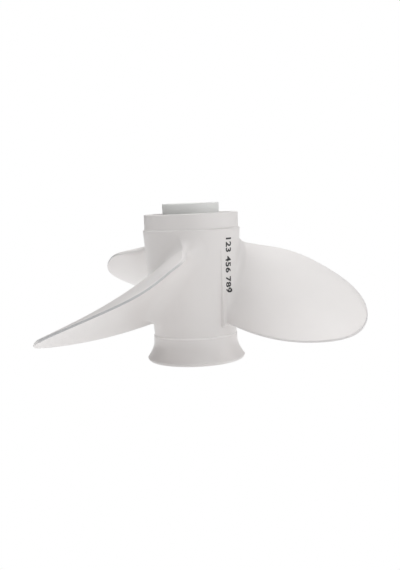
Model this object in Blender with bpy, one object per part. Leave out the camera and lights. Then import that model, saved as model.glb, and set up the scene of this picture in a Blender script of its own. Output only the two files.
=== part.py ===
# Three-blade boat propeller with a hollow hub, standing on its flared rear ring.
# Barrel, blades, ribs and inner barrel are one casting; each is a solid of its own, a hair's breadth apart.
# The shaft runs along Z, the forward end is up, and the rear rim lies at z = 0.
# The middle of the first blade's root is on +X. Sizes are in millimetres until they are placed.

import math

import bpy
from mathutils import Vector

MM = 0.001

# Blades
DIAMETER = 251.2
PITCH = 285.75
BLADE_COUNT = 3
ROOT_RADIUS = 33.0
ROOT_HEIGHT = 57.9
SKEW_DEG = 16.2
SKEW_POWER = 4.0
ROOT_HALF_DEG = 36.9
TIP_HALF_DEG = 23.8
HALF_POWER = 2.45
TIP_ROUNDNESS = 4.2
TRAILING_STRETCH = 0.016
RAKE_ROOT = 24.3
RAKE_CURVE = 8.2
ROOT_THICKNESS = 9.6
TIP_THICKNESS = 2.3
THICKNESS_POWER = 1.46
CROWN_POWER = 0.9
EDGE_THICKNESS = 1.4
NOSE_EXTRA = 3.4
NOSE_START_RADIUS = 46.0
NOSE_END_RADIUS = 82.0
NOSE_SHOULDER = 2.0
NOSE_UNDERSIDE = 14.0
LIFT_PEAK = 2.0
LIFT_CENTRE = 84.0
LIFT_REACH = 26.0
LIFT_POWER = 4.0
LEAD_CUT_DEG = 2.0
ROOT_CUT_DEG = 4.2

# Size of the root fillet at places on the chord, from -1 at the trailing edge to 1 at the leading edge
SUCTION_FILLETS = ((-1.0, 2.5), (-0.7, 7.0), (0.0, 5.5), (0.9, 7.5), (1.0, 7.0))
PRESSURE_FILLETS = ((-1.0, 2.5), (-0.75, 13.0), (0.95, 13.0), (1.0, 7.0))

# Outer barrel and its collar
SEAM_Z = 18.8
LEDGE_Z = 95.3
COLLAR_Z = 106.2
BARREL_AFT_RADIUS = 29.8
BARREL_FORE_RADIUS = 35.0
COLLAR_RADIUS = 33.8
BARREL_WALL = 3.8
COLLAR_BORE = 30.0
EDGE_CHAMFER = 0.6

# Flat pad that stands on the barrel beside the first blade's root
PAD_AZIMUTH = -32.0
PAD_LOW_Z = 25.0
PAD_HIGH_Z = 92.5
PAD_LOW_REACH = 32.3
PAD_HIGH_REACH = 33.3
PAD_LOW_HALF = 6.8
PAD_HIGH_HALF = 8.6
PAD_DEPTH = 3.2
PAD_END_SLOPE = 1.6

# Inner barrel and its ribs
INNER_AFT_Z = 27.0
INNER_FORE_Z = 113.4
INNER_AFT_RADIUS = 18.9
INNER_FORE_RADIUS = 20.4
INNER_BORE = 16.6
RIB_COUNT = 3
RIB_THICKNESS = 4.2
RIB_LOW_Z = 32.0
RIB_HIGH_Z = 92.0
RIB_AZIMUTH = 60.0

# Flared rear ring
FLARE_SEAM_RADIUS = 30.5
FLARE_WIDEST_RADIUS = 35.4
FLARE_WIDEST_Z = 2.6
FLARE_FOOT_RADIUS = 32.2
FLARE_FOOT_BORE = 30.2
FLARE_WAIST_Z = 14.0
FLARE_POWER = 1.7
LIP_ANGLES = (30.0, 60.0, 90.0)
FLARE_HEIGHTS = (5.0, 7.5, 10.0, FLARE_WAIST_Z)

# The ring's bore, as how much wider it is than the barrel's bore at a height
RING_BORE = ((0.3, 12.0), (1.6, 7.0), (3.8, 2.4))

# Rubber bush and splined sleeve
BUSH_AFT_Z = 31.0
BUSH_FORE_Z = 111.4
BUSH_BORE = 11.6
SLEEVE_AFT_Z = 29.0
SLEEVE_FORE_Z = 112.9
SPLINE_COUNT = 10
SPLINE_ROOT_RADIUS = 9.4
SPLINE_TIP_RADIUS = 8.2
SPLINE_EDGES = (0.04, 0.46, 0.54, 0.96)

# Fineness of the meshes
ROUND_STEPS = 72
CHORD_STEPS = 12
SPAN_STEPS = 11
FOOT_STEPS = 6
LAST_SECTION = 0.999
SMOOTH_ANGLE = 35.0
HELIX_RISE = PITCH / (2.0 * math.pi)
TIP_RADIUS = DIAMETER / 2.0
INNER_END_CHAMFER = 0.8

# Clearance between neighbouring solids
GAP = 0.3

# Heights above the barrel of the loops that round the root fillet
FOOT_HEIGHTS = (GAP, 1.5, 4.0, 8.0)


def clear_scene():
    for item in list(bpy.data.objects):
        bpy.data.objects.remove(item, do_unlink=True)


def paint(name, colour, roughness, metallic):
    material = bpy.data.materials.new(name)
    material.use_nodes = True
    shader = material.node_tree.nodes["Principled BSDF"]
    shader.inputs["Base Color"].default_value = (*colour, 1.0)
    shader.inputs["Roughness"].default_value = roughness
    shader.inputs["Metallic"].default_value = metallic
    return material


def add_object(name, points, faces, material=None):
    mesh = bpy.data.meshes.new(name)
    mesh.from_pydata([Vector(point) * MM for point in points], [], faces)
    mesh.validate()
    mesh.shade_smooth()
    mesh.set_sharp_from_angle(angle=math.radians(SMOOTH_ANGLE))
    item = bpy.data.objects.new(name, mesh)
    bpy.context.scene.collection.objects.link(item)
    if material:
        mesh.materials.append(material)
    return item


def polar(radius, azimuth_deg, z):
    turn = math.radians(azimuth_deg)
    return (radius * math.cos(turn), radius * math.sin(turn), z)


# A closed ring of faces from rows of points, the last row joined to the first
def loop_faces(rows, columns):
    faces = []
    for row in range(rows):
        for column in range(columns):
            here = row * columns
            above = ((row + 1) % rows) * columns
            right = (column + 1) % columns
            faces.append((here + column, here + right, above + right, above + column))
    return faces


# A hollow turned shape from its wall section, a list of (radius, z) that runs anticlockwise
def turned(name, section, material):
    points = []
    for radius, z in section:
        points += [polar(radius, 360.0 * step / ROUND_STEPS, z) for step in range(ROUND_STEPS)]
    return add_object(name, points, loop_faces(len(section), ROUND_STEPS), material)


def between(low, high, share):
    return low + (high - low) * share


def barrel_radius(z):
    share = (z - SEAM_Z) / (LEDGE_Z - SEAM_Z)
    return between(BARREL_AFT_RADIUS, BARREL_FORE_RADIUS, share)


def inner_radius(z):
    share = (z - INNER_AFT_Z) / (INNER_FORE_Z - INNER_AFT_Z)
    return between(INNER_AFT_RADIUS, INNER_FORE_RADIUS, share)


def barrel_bore(z):
    return barrel_radius(z) - BARREL_WALL


def outer_barrel(material):
    seam = SEAM_Z + GAP
    section = [
        (barrel_bore(seam), seam),
        (barrel_radius(seam), seam),
        (barrel_radius(LEDGE_Z), LEDGE_Z - EDGE_CHAMFER),
        (barrel_radius(LEDGE_Z) - EDGE_CHAMFER, LEDGE_Z),
        (COLLAR_RADIUS, LEDGE_Z),
        (COLLAR_RADIUS, COLLAR_Z - EDGE_CHAMFER),
        (COLLAR_RADIUS - EDGE_CHAMFER, COLLAR_Z),
        (COLLAR_BORE, COLLAR_Z),
        (COLLAR_BORE, LEDGE_Z),
        (barrel_bore(LEDGE_Z), LEDGE_Z - EDGE_CHAMFER),
    ]
    barrel = turned("outer_barrel", section, material)
    join_shape(barrel, size_pad())
    return barrel


def inner_barrel(material):
    section = [
        (INNER_BORE + INNER_END_CHAMFER, INNER_AFT_Z),
        (INNER_AFT_RADIUS, INNER_AFT_Z),
        (inner_radius(INNER_FORE_Z - EDGE_CHAMFER), INNER_FORE_Z - EDGE_CHAMFER),
        (INNER_FORE_RADIUS - EDGE_CHAMFER, INNER_FORE_Z),
        (INNER_BORE + INNER_END_CHAMFER, INNER_FORE_Z),
        (INNER_BORE, INNER_FORE_Z - INNER_END_CHAMFER),
        (INNER_BORE, INNER_AFT_Z + INNER_END_CHAMFER),
    ]
    return turned("inner_barrel", section, material)


# A flat web from the inner barrel to the outer one, a gap short of both at its corners
def rib(number, material):
    azimuth = RIB_AZIMUTH + 360.0 * number / RIB_COUNT
    outward = Vector(polar(1.0, azimuth, 0.0))
    half = 0.5 * RIB_THICKNESS
    sideways = Vector(polar(half, azimuth + 90.0, 0.0))
    points = []
    for z in (RIB_LOW_Z, RIB_HIGH_Z):
        near = inner_radius(z) + GAP
        far = math.sqrt((barrel_bore(z) - GAP) ** 2 - half ** 2)
        for reach, side in ((near, -1), (far, -1), (far, 1), (near, 1)):
            points.append(outward * reach + sideways * side + Vector((0.0, 0.0, z)))
    return add_object(f"rib_{number + 1}", points, box_faces(), material)


def box_faces():
    return [(3, 2, 1, 0), (4, 5, 6, 7), (0, 1, 5, 4), (1, 2, 6, 5), (2, 3, 7, 6), (3, 0, 4, 7)]


def size_pad():
    outward = Vector(polar(1.0, PAD_AZIMUTH, 0.0))
    sideways = Vector(polar(1.0, PAD_AZIMUTH + 90.0, 0.0))
    low = (PAD_LOW_Z, PAD_LOW_REACH, PAD_LOW_HALF, PAD_END_SLOPE)
    high = (PAD_HIGH_Z, PAD_HIGH_REACH, PAD_HIGH_HALF, -PAD_END_SLOPE)
    points = []
    for z, reach, half, slope in (low, high):
        depth = reach - PAD_DEPTH
        for distance, side, lift in ((depth, -1, 0), (reach, -1, slope), (reach, 1, slope), (depth, 1, 0)):
            points.append(outward * distance + sideways * (side * half) + Vector((0.0, 0.0, z + lift)))
    pad = add_object("size_pad_shape", points, box_faces())
    join_shape(pad, root_clearance(), "DIFFERENCE")
    return pad


# The space that the first blade's foot and fillet take up, a gap wider all round
def root_clearance():
    lift = Vector((GAP, 0.0, 0.0))
    loops = [[place + lift for place in root_loop(height, GAP)] for height in FOOT_HEIGHTS]
    loops.insert(0, [place - Vector((PAD_DEPTH, 0.0, 0.0)) for place in loops[0]])
    count = len(loops[0])
    points = [polar(place.x, math.degrees(place.y), place.z) for loop in loops for place in loop]
    start_faces = [face[::-1] for face in end_faces(0, count)]
    return add_object("root_clearance", points, blade_faces(len(loops), count) + start_faces)


def blade_reach(radius):
    return max((radius - ROOT_RADIUS) / (TIP_RADIUS - ROOT_RADIUS), 0.0)


# Half of the blade's width at a radius, as an angle in degrees
def half_width(radius):
    reach = blade_reach(radius)
    half = ROOT_HALF_DEG - (ROOT_HALF_DEG - TIP_HALF_DEG) * reach ** HALF_POWER
    return half * math.sqrt(max(1.0 - reach ** TIP_ROUNDNESS, 0.0))


# How strong the lift of the leading edge is at a radius, from 0 to 1
def lead_bump(radius):
    return math.cos(0.5 * math.pi * min(abs(radius - LIFT_CENTRE) / LIFT_REACH, 1.0)) ** 2


# How far a radius is into the blunt nose, from 0 outside it to 1 near the barrel
def root_share(radius):
    share = min(max((NOSE_END_RADIUS - radius) / (NOSE_END_RADIUS - NOSE_START_RADIUS), 0.0), 1.0)
    return share * share * (3.0 - 2.0 * share)


# The angle in degrees from the blade's middle line to a place on the chord
def chord_angle(radius, chord):
    half = half_width(radius)
    if chord < 0.0:
        return half * (chord - TRAILING_STRETCH * chord * chord)
    cut = LEAD_CUT_DEG * lead_bump(radius) + ROOT_CUT_DEG * root_share(radius)
    return half * chord - cut * chord * chord


# The blade's edge runs on a helicoid that leans aft. Its outline is a skewed, rounded ear.
def blade_place(radius, chord):
    span = (radius - ROOT_RADIUS) / (TIP_RADIUS - ROOT_RADIUS)
    azimuth = math.radians(chord_angle(radius, chord) - SKEW_DEG * blade_reach(radius) ** SKEW_POWER)
    z = ROOT_HEIGHT + HELIX_RISE * azimuth - RAKE_ROOT * span + RAKE_CURVE * span * span
    slope = (2.0 * RAKE_CURVE * span - RAKE_ROOT) / (TIP_RADIUS - ROOT_RADIUS)
    return azimuth, z, Vector((-slope, -HELIX_RISE / radius, 1.0)).normalized()


# The leading edge grows blunt towards the barrel, with a small shoulder above and a soft one below
def edge_thickness(radius, chord, face):
    extra = NOSE_EXTRA * root_share(radius) * max(chord, 0.0) ** 2
    inland = math.radians(half_width(radius)) * math.hypot(radius, HELIX_RISE) * (1.0 - abs(chord))
    depth = min(2.0 * inland / (NOSE_SHOULDER if face else NOSE_UNDERSIDE), 1.0)
    return EDGE_THICKNESS + extra * math.sqrt(1.0 - (1.0 - depth) ** 2)


# A point of the blade's skin as (radius, azimuth, z); face is 0 on the pressure side and 1 on the suction side
def skin_point(radius, chord, face):
    azimuth, z, normal = blade_place(radius, chord)
    edge = edge_thickness(radius, chord, face)
    middle = between(ROOT_THICKNESS, TIP_THICKNESS, blade_reach(radius) ** THICKNESS_POWER)
    crown = (middle - edge) * (1.0 - chord * chord) ** CROWN_POWER
    lead = LIFT_PEAK * lead_bump(radius) * max(chord, 0.0) ** LIFT_POWER
    lift = normal * (lead + face * (edge + crown) - edge / 2.0)
    return Vector((radius + lift.x, azimuth + lift.y / radius, z + lift.z))


def chord_stations():
    return [-math.cos(math.pi * step / CHORD_STEPS) for step in range(CHORD_STEPS + 1)]


# One closed loop round the blade: trailing nose, suction face, leading nose, then the pressure face back
def section_loop(radius):
    suction = [skin_point(radius, chord, 1) for chord in chord_stations()]
    pressure = [skin_point(radius, chord, 0) for chord in reversed(chord_stations())]
    leading = edge_nose(suction[-1], pressure[0], suction[-2], radius)
    trailing = edge_nose(pressure[-1], suction[0], suction[1], radius)
    return [trailing] + suction + [leading] + pressure


# The middle of a blunt edge, pushed out from the blade by half the edge's thickness
def edge_nose(one, other, inland, radius):
    middle = (one + other) / 2.0
    along = Vector(((middle.y - inland.y) * radius, middle.z - inland.z)).normalized()
    push = EDGE_THICKNESS / 2.0
    return Vector((middle.x, middle.y + push * along.x / radius, middle.z + push * along.y))


# The fillet's size at a point of the loop, evened out between the places that are given
def fillet_size(index, half_count):
    places = SUCTION_FILLETS if index <= half_count else PRESSURE_FILLETS
    station = min(index, 2 * half_count - index) - 1
    chord = -math.cos(math.pi * min(max(station, 0), CHORD_STEPS) / CHORD_STEPS)
    for (start, first), (end, last) in zip(places, places[1:]):
        if chord <= end:
            share = (chord - start) / (end - start)
            return between(first, last, share * share * (3.0 - 2.0 * share))
    return places[-1][1]


# The loop that stands a given height above the barrel, spread outwards by the root fillet and a clearance
def root_loop(height, clearance=0.0):
    loop = section_loop(ROOT_RADIUS + height)
    count = len(loop)
    spread_loop = []
    for index, point in enumerate(loop):
        before = loop[index - 1]
        after = loop[(index + 1) % count]
        run = (after.y - before.y) * ROOT_RADIUS
        rise = after.z - before.z
        length = math.hypot(run, rise)
        fillet = fillet_size(index, count // 2)
        room = min(max(fillet - height, 0.0), fillet)
        spread = fillet - math.sqrt(fillet * fillet - room * room) + clearance
        z = point.z + spread * run / length
        azimuth = point.y - spread * rise / length / ROOT_RADIUS
        spread_loop.append(Vector((barrel_radius(z) + height, azimuth, z)))
    return spread_loop


# The blade's foot: rows of points across the first loop, which follow the barrel a gap above it
def foot_points(loop):
    columns = len(loop) // 2
    points = []
    for column in range(1, columns):
        one = loop[column]
        other = loop[len(loop) - column]
        for step in range(1, FOOT_STEPS):
            place = one.lerp(other, step / FOOT_STEPS)
            points.append(Vector((barrel_radius(place.z) + GAP, place.y, place.z)))
    return points


# The foot's faces, in columns from the suction side to the pressure side. Each square is split along
# the diagonal that runs up the barrel, because the other one would cut into it.
def foot_faces(count, start):
    half = count // 2
    inner = FOOT_STEPS - 1
    columns = []
    for column in range(1, half):
        middle = [start + (column - 1) * inner + step for step in range(inner)]
        columns.append([column] + middle + [count - column])
    faces = [(0, here, there) for here, there in zip(columns[0], columns[0][1:])]
    for left, right in zip(columns, columns[1:]):
        for step in range(FOOT_STEPS):
            faces.append((left[step], right[step], left[step + 1]))
            faces.append((right[step], right[step + 1], left[step + 1]))
    faces += [(half, there, here) for here, there in zip(columns[-1], columns[-1][1:])]
    return faces


def blade(number, material):
    loops = [root_loop(height) for height in FOOT_HEIGHTS]
    first = ROOT_RADIUS + max(size for _, size in PRESSURE_FILLETS)
    for step in range(SPAN_STEPS):
        share = 1.0 - (1.0 - step / SPAN_STEPS) ** 2
        loops.append(section_loop(between(first, TIP_RADIUS, share)))
    loops.append(section_loop(between(first, TIP_RADIUS, LAST_SECTION)))
    count = len(loops[0])
    places = [place for loop in loops for place in loop]
    faces = blade_faces(len(loops), count) + foot_faces(count, len(places))
    places += foot_points(loops[0])
    turn = 360.0 * number / BLADE_COUNT
    points = [polar(place.x, math.degrees(place.y) + turn, place.z) for place in places]
    return add_object(f"blade_{number + 1}", points, faces, material)


# The skin between neighbouring loops, and the strip of faces that closes the tip
def blade_faces(rows, columns):
    faces = []
    for row in range(rows - 1):
        for column in range(columns):
            right = (column + 1) % columns
            here = row * columns
            above = here + columns
            faces.append((here + column, above + column, above + right, here + right))
    return faces + end_faces((rows - 1) * columns, columns)


# The strip of faces that closes a loop, whose first point has the number start
def end_faces(start, columns):
    half = columns // 2
    faces = [(start, start + columns - 1, start + 1)]
    for column in range(1, half - 1):
        far = columns - column
        faces.append((start + column, start + far, start + far - 1, start + column + 1))
    faces.append((start + half - 1, start + half + 1, start + half))
    return faces


# A shape that is joined into another, or cut from it, and doesn't show by itself
def join_shape(target, shape, operation="UNION"):
    shape.hide_render = True
    shape.display_type = "WIRE"
    modifier = target.modifiers.new(shape.name, "BOOLEAN")
    modifier.operation = operation
    modifier.solver = "EXACT"
    modifier.object = shape


def flare_radius(z):
    share = max(FLARE_WAIST_Z - z, 0.0) / (FLARE_WAIST_Z - FLARE_WIDEST_Z)
    return FLARE_SEAM_RADIUS + (FLARE_WIDEST_RADIUS - FLARE_SEAM_RADIUS) * share ** FLARE_POWER


def diffuser_ring(material):
    seam_bore = barrel_bore(SEAM_Z)
    outside = [(FLARE_FOOT_BORE, 0.0), (FLARE_FOOT_RADIUS, 0.0)]
    for angle in LIP_ANGLES:
        turn = math.radians(angle)
        radius = between(FLARE_FOOT_RADIUS, FLARE_WIDEST_RADIUS, math.sin(turn))
        outside.append((radius, FLARE_WIDEST_Z * (1.0 - math.cos(turn))))
    outside += [(flare_radius(z), z) for z in FLARE_HEIGHTS]
    outside += [(FLARE_SEAM_RADIUS, SEAM_Z), (seam_bore, SEAM_Z)]
    inside = [(seam_bore + wider, z) for wider, z in RING_BORE]
    return turned("diffuser_ring", outside + inside, material)


def rubber_bush(material):
    radius = INNER_BORE - GAP
    section = [
        (BUSH_BORE, BUSH_AFT_Z + INNER_END_CHAMFER),
        (BUSH_BORE + INNER_END_CHAMFER, BUSH_AFT_Z),
        (radius - INNER_END_CHAMFER, BUSH_AFT_Z),
        (radius, BUSH_AFT_Z + INNER_END_CHAMFER),
        (radius, BUSH_FORE_Z - INNER_END_CHAMFER),
        (radius - INNER_END_CHAMFER, BUSH_FORE_Z),
        (BUSH_BORE + INNER_END_CHAMFER, BUSH_FORE_Z),
        (BUSH_BORE, BUSH_FORE_Z - INNER_END_CHAMFER),
    ]
    return turned("rubber_bush", section, material)


# Angles of the four corners of each straight spline tooth
def spline_corners():
    tooth = 360.0 / SPLINE_COUNT
    return [tooth * (number + edge) for number in range(SPLINE_COUNT) for edge in SPLINE_EDGES]


def splined_sleeve(material):
    corners = spline_corners()
    points = []
    for z in (SLEEVE_AFT_Z, SLEEVE_FORE_Z):
        points += [polar(BUSH_BORE - GAP, azimuth, z) for azimuth in corners]
    for z in (SLEEVE_FORE_Z, SLEEVE_AFT_Z):
        for index, azimuth in enumerate(corners):
            reach = SPLINE_TIP_RADIUS if index % 4 < 2 else SPLINE_ROOT_RADIUS
            points.append(polar(reach, azimuth, z))
    return add_object("splined_sleeve", points, loop_faces(4, len(corners)), material)


def main():
    clear_scene()
    white = paint("white_paint", (0.86, 0.86, 0.85), 0.42, 0.0)
    rubber = paint("black_rubber", (0.03, 0.03, 0.03), 0.7, 0.0)
    brass = paint("brass", (0.72, 0.52, 0.24), 0.35, 1.0)
    outer_barrel(white)
    inner_barrel(white)
    for number in range(RIB_COUNT):
        rib(number, white)
    for number in range(BLADE_COUNT):
        blade(number, white)
    diffuser_ring(white)
    rubber_bush(rubber)
    splined_sleeve(brass)


main()
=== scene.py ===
# %% [markdown]
# # A white boat propeller
# The object is a cast propeller with three blades and a hollow hub, standing on its flared rear ring.
# The imported CAD model gives every place and size. This lesson builds the fine surfaces over it: one smooth
# casting with soft root fillets, the turned ring, the inner barrel, the rubber bush and the splined sleeve.
# First the CAD model is loaded.

# %% Load the frame
import math

import bmesh
import bpy
from mathutils import Matrix, Vector


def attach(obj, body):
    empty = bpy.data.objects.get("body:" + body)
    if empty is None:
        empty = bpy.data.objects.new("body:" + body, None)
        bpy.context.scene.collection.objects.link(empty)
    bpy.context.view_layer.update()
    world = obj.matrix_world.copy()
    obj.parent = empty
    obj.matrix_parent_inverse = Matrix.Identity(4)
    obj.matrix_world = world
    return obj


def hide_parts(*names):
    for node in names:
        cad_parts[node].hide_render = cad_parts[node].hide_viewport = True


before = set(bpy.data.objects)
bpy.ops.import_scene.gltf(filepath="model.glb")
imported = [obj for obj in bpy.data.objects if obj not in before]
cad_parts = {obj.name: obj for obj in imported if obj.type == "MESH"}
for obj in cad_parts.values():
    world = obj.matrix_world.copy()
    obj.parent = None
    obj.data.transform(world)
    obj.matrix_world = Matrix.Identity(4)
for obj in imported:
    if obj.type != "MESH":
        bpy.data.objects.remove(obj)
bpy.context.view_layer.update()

# %% [markdown]
# ## The propeller's main sizes
# A propeller is named by two numbers: the diameter of the circle that the blade tips sweep, and the pitch,
# the distance that it would screw forwards in one turn. All sizes below are in millimetres, and heights are
# measured up from the rear rim. The barrel is a cone, a little wider at its forward end.

# %% Main sizes
MM = 0.001
TIP_RADIUS = 125.5
PITCH = 285.75
HELIX_RISE = PITCH / (2.0 * math.pi)
BLADE_COUNT = 3

SEAM_Z = 18.8
SEAM_GAP = 0.3
LEDGE_Z = 95.3
COLLAR_Z = 106.2
BARREL_AFT_RADIUS = 29.8
BARREL_FORE_RADIUS = 35.0
COLLAR_RADIUS = 33.8
COLLAR_BORE = 30.0
BARREL_WALL = 3.8


def between(low, high, share):
    return low + (high - low) * share


def smooth(share):
    """Ease a share, from 0 to 1, so that it starts and ends gently."""
    return share * share * (3.0 - 2.0 * share)


def barrel_radius(z):
    return between(BARREL_AFT_RADIUS, BARREL_FORE_RADIUS, (z - SEAM_Z) / (LEDGE_Z - SEAM_Z))


def polar(radius, azimuth, z):
    """A point in metres from a radius and height in millimetres and an angle in radians."""
    return Vector((radius * math.cos(azimuth), radius * math.sin(azimuth), z)) * MM


print("Barrel radius at the seam and at the ledge:", barrel_radius(SEAM_Z), barrel_radius(LEDGE_Z))

# %% [markdown]
# ## The camera
# The photograph looks a few degrees down at the hub from about 60 cm, with the camera held slightly askew.
# The camera's place and its turn are set as plain numbers, with a lens that frames an upright picture of
# 400 by 570 pixels.

# %% Camera at the photograph's view
CAMERA_DISTANCE = 602.9
CAMERA_HEIGHT = 118.0
CAMERA_AZIMUTH_DEG = 7.88
CAMERA_TURN_DEG = (83.91, 2.37, 7.19)
CAMERA_LENS = 52.62

camera_data = bpy.data.cameras.new("camera")
camera_data.lens = CAMERA_LENS
camera_data.sensor_width = 36.0
camera_data.clip_start = 0.01
camera_data.clip_end = 20.0
camera = bpy.data.objects.new("camera", camera_data)
bpy.context.scene.collection.objects.link(camera)
camera.location = polar(CAMERA_DISTANCE, math.radians(CAMERA_AZIMUTH_DEG - 90.0), CAMERA_HEIGHT)
camera.rotation_euler = [math.radians(angle) for angle in CAMERA_TURN_DEG]
bpy.context.scene.camera = camera
print("Camera at", [round(value, 4) for value in camera.location])

# %% [markdown]
# ## Working with rings
# Most pieces here are lofts: a ring of points that is extruded again and again, and placed anew each time.
# In the window this is E, then a scale or a move. In code the same operator runs in edit mode, and each new
# point is found as the selected neighbour of the old one, so that a ring keeps its order.

# %% Ring helpers
def deselect_all():
    if bpy.context.object and bpy.context.object.mode == "EDIT":
        bpy.ops.object.mode_set(mode="OBJECT")
    bpy.ops.object.select_all(action="DESELECT")


def start_ring(name, points):
    """Add a circle, and place its points. Returns the object, in edit mode, and the points' numbers."""
    deselect_all()
    bpy.ops.mesh.primitive_circle_add(vertices=len(points), radius=MM)
    piece = bpy.context.object
    piece.name = name
    piece.data.name = name
    bpy.ops.object.mode_set(mode="EDIT")
    place_ring(piece, range(len(points)), points)
    return piece, list(range(len(points)))


def place_ring(piece, ring, points):
    mesh = bmesh.from_edit_mesh(piece.data)
    mesh.verts.ensure_lookup_table()
    for number, point in zip(ring, points):
        mesh.verts[number].co = point


def extrude_ring(piece, ring, points):
    """Extrude the selected ring once, and place the new ring. Returns the new ring's numbers."""
    bpy.ops.mesh.extrude_edges_move()
    mesh = bmesh.from_edit_mesh(piece.data)
    mesh.verts.index_update()
    mesh.verts.ensure_lookup_table()
    grown = []
    for number in ring:
        links = mesh.verts[number].link_edges
        partner = [edge.other_vert(mesh.verts[number]) for edge in links]
        grown.append([vert.index for vert in partner if vert.select][0])
    place_ring(piece, grown, points)
    return grown


def loft(name, rings):
    """A piece from a list of rings, each extruded from the one before."""
    piece, ring = start_ring(name, rings[0])
    for points in rings[1:]:
        ring = extrude_ring(piece, ring, points)
    return piece


def finish_mesh(piece, weld=1e-6, sharp_deg=35.0):
    """Weld, turn the faces outwards and shade smooth, with sharp edges past an angle."""
    if piece.mode != "EDIT":
        bpy.ops.object.mode_set(mode="EDIT")
    bpy.ops.mesh.select_all(action="SELECT")
    bpy.ops.mesh.remove_doubles(threshold=weld)
    bpy.ops.mesh.normals_make_consistent(inside=False)
    bpy.ops.object.mode_set(mode="OBJECT")
    bpy.ops.object.shade_smooth_by_angle(angle=math.radians(sharp_deg))
    print(piece.name, "has", len(piece.data.polygons), "faces")


def apply_union(piece, other):
    """Join another closed shape into the piece, and remove the other object."""
    deselect_all()
    bpy.context.view_layer.objects.active = piece
    piece.select_set(True)
    modifier = piece.modifiers.new("union", "BOOLEAN")
    modifier.operation = "UNION"
    modifier.solver = "EXACT"
    modifier.object = other
    bpy.ops.object.modifier_apply(modifier=modifier.name)
    bpy.data.objects.remove(other, do_unlink=True)


# %% [markdown]
# ## The blade's form
# Seen along the shaft, each blade is a rounded ear that is swept back towards its tip. Its middle surface is
# a helicoid: the height rises in step with the angle, by the pitch each turn, and the whole surface leans
# aft as it goes outwards. The forward, suction face is crowned and the rear, pressure face is plain. The
# thickness falls from the root to the tip. The rim is ground square, about one and a half millimetres thick,
# which a squared circle gives. Towards the hub the leading edge swells into a blunt nose, with a small
# shoulder on the suction side and a soft one under it. At two thirds of the radius it is lifted a little.

# %% Blade form
ROOT_RADIUS = 33.0
ROOT_HEIGHT = 57.9
SKEW_DEG, SKEW_POWER = 16.2, 4.0
ROOT_HALF_DEG, TIP_HALF_DEG, HALF_POWER = 36.9, 23.8, 2.45
TIP_ROUNDNESS = 4.2
TRAILING_STRETCH = 0.016
RAKE_ROOT, RAKE_CURVE = 24.3, 8.2
ROOT_THICKNESS, TIP_THICKNESS, THICKNESS_POWER = 9.6, 2.3, 1.46
CROWN_POWER = 0.9
EDGE_THICKNESS, EDGE_SQUARENESS = 1.4, 4.0
NOSE_EXTRA, NOSE_START_RADIUS, NOSE_END_RADIUS = 3.4, 46.0, 82.0
NOSE_SHOULDER, NOSE_UNDERSIDE, NOSE_ROUNDNESS = 2.0, 14.0, 2.2
LIFT_PEAK, LIFT_CENTRE, LIFT_REACH, LIFT_POWER = 2.0, 84.0, 26.0, 4.0
LEAD_CUT_DEG, ROOT_CUT_DEG = 2.0, 4.2
SLOPE_STEP = 0.05


def half_chord(radius):
    """Half of the blade's width at a radius, as an angle in degrees and as a length along the helix."""
    span = min(max((radius - ROOT_RADIUS) / (TIP_RADIUS - ROOT_RADIUS), 0.0), 1.0)
    half = between(ROOT_HALF_DEG, TIP_HALF_DEG, span ** HALF_POWER)
    half *= math.sqrt(max(1.0 - span ** TIP_ROUNDNESS, 0.0))
    return half, math.radians(half) * math.hypot(radius, HELIX_RISE)


def lead_bump(radius):
    """How strong the lift of the leading edge is at a radius, from 0 to 1."""
    return math.cos(0.5 * math.pi * min(abs(radius - LIFT_CENTRE) / LIFT_REACH, 1.0)) ** 2


def root_share(radius):
    """How far a radius is into the nose, from 0 outside it to 1 near the barrel."""
    return smooth(min(max((NOSE_END_RADIUS - radius) / (NOSE_END_RADIUS - NOSE_START_RADIUS), 0.0), 1.0))


def chord_angle(radius, chord):
    """The angle in degrees from the blade's middle line to a place on the chord."""
    half = half_chord(radius)[0]
    if chord < 0.0:
        return half * (chord - TRAILING_STRETCH * chord * chord)
    cut = LEAD_CUT_DEG * lead_bump(radius) + ROOT_CUT_DEG * root_share(radius)
    return half * chord - cut * chord * chord


def inside_outline(radius, chord):
    """How far a point lies inside the blade's outline, in millimetres."""
    reach = half_chord(radius)[1]
    growth = half_chord(radius + SLOPE_STEP)[1] - half_chord(radius - SLOPE_STEP)[1]
    slope = growth / (2.0 * SLOPE_STEP)
    inside = reach * (1.0 - abs(chord)) / math.hypot(1.0, slope)
    return min(inside, TIP_RADIUS - radius)


def rounding(inside, thickness, power):
    """How far an edge of some thickness has opened at a distance inside the outline, from 0 to 1."""
    depth = min(max(2.0 * inside / thickness, 0.0), 1.0)
    return (1.0 - (1.0 - depth) ** power) ** (1.0 / power)


def skin_lift(radius, chord, reach, suction):
    """How far the skin stands off the helicoid that the trailing edge lies on."""
    ahead = max(chord, 0.0)
    blunt = root_share(radius) * ahead * ahead
    edge = EDGE_THICKNESS + NOSE_EXTRA * blunt
    depth = between(EDGE_THICKNESS, NOSE_SHOULDER if suction else NOSE_UNDERSIDE, blunt)
    power = between(EDGE_SQUARENESS, NOSE_ROUNDNESS, blunt)
    share = rounding(inside_outline(radius, chord), depth, power)
    middle = between(ROOT_THICKNESS, TIP_THICKNESS, reach ** THICKNESS_POWER)
    crown = (middle - edge) * (1.0 - chord * chord) ** CROWN_POWER
    lift = LIFT_PEAK * lead_bump(radius) * ahead ** LIFT_POWER
    return lift + share * (0.5 * edge + crown if suction else -0.5 * edge)


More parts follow.
